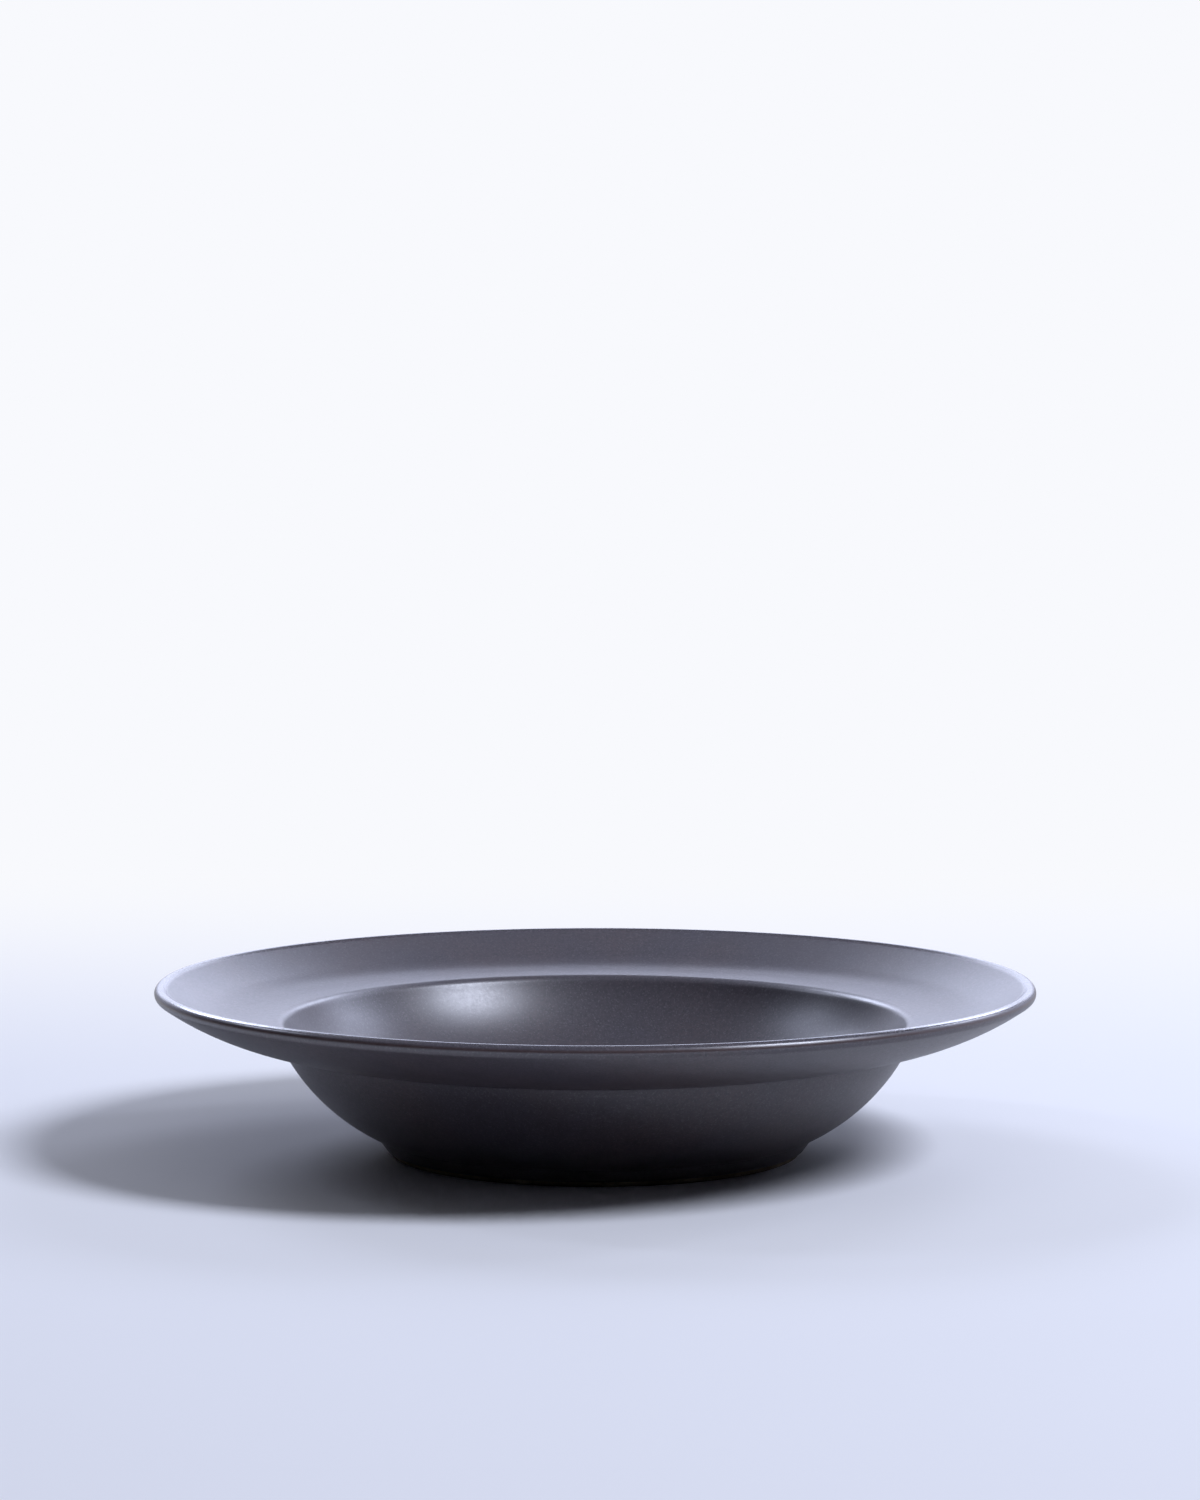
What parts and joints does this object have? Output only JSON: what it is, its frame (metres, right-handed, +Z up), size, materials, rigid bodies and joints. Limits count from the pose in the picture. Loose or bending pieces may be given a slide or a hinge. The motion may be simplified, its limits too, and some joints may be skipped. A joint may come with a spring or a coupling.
{
  "type": "pasta bowl",
  "caption": "Shallow round stoneware pasta bowl with a deep well, a level ledge round it and a wide upturned rim, in dark satin glaze over a dry foot ring.",
  "frame": {"origin": "centre of the face of the foot ring that rests on the table", "axes": "+Z up along the axis of the bowl, out of its mouth; X and Y are any two directions across it, since it is round"},
  "size_m": [0.28, 0.28, 0.0545],
  "materials": {
    "bare_stoneware": "dry unglazed fired stoneware, warm tan brown with fine sand specks",
    "satin_glaze": "satin-matt charcoal glaze with a faint brown cast and very fine speckle, breaking thin and reddish brown along the lip",
    "underside_glaze": "the same satin-matt charcoal glaze on the recessed underside"
  },
  "bodies": {
    "root": {"clay_body": "bare_stoneware", "glaze_coat": "satin_glaze", "base_glaze": "underside_glaze"}
  },
  "joints": []
}
